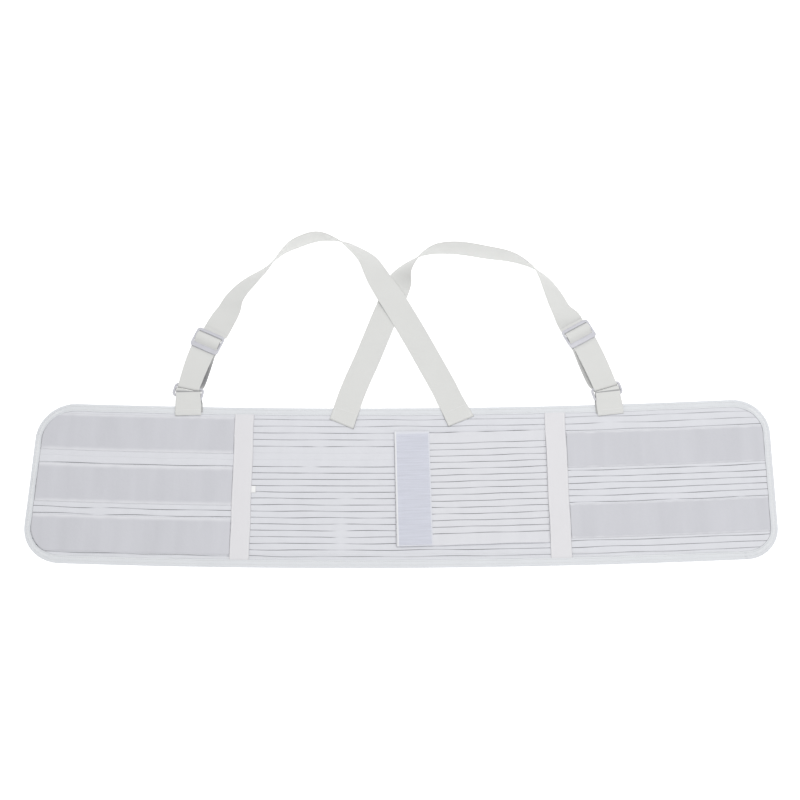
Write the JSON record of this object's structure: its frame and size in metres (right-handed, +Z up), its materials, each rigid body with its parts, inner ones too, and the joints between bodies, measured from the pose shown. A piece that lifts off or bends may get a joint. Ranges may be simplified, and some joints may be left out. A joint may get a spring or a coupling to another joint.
{
  "type": "rib belt with crossed shoulder straps",
  "caption": "White elastic rib support belt laid flat, with ribbed panels, loop pile bands, a tension band with a hook patch, and crossed webbing straps on sliders and rings",
  "frame": {"origin": "middle of the belt's underside, on the surface that it lies on", "axes": "+X along the belt, to the right as worn side up; +Y across the belt towards the shoulder straps; +Z up, out of the front face"},
  "size_m": [1.0691, 0.5067, 0.0376],
  "materials": {
    "elastic": "white ribbed knitted elastic, matte",
    "binding": "white folded binding tape with stitched rows, matte",
    "seam_tape": "white woven tape, matte",
    "loop_pile": "off-white brushed loop pile, fuzzy and matte",
    "hook": "white hook tape with a cool tint and fine rows",
    "webbing": "white flat woven webbing, matte",
    "plastic": "white moulded plastic, slightly glossy"
  },
  "bodies": {
    "root": {"left_end_panel": "elastic", "centre_panel": "elastic", "right_end_panel": "elastic", "binding": "binding", "left_seam_tape": "seam_tape", "right_seam_tape": "seam_tape", "left_pile_band_1": "loop_pile", "left_pile_band_2": "loop_pile", "left_pile_band_3": "loop_pile", "right_pile_band_1": "loop_pile", "right_pile_band_2": "loop_pile", "tag": "seam_tape", "tension_band": "elastic", "hook_patch": "hook", "left_strap": "webbing", "left_slider": "plastic", "left_ring": "plastic", "left_tab": "webbing", "right_strap": "webbing", "right_slider": "plastic", "right_ring": "plastic", "right_tab": "webbing"}
  },
  "joints": []
}
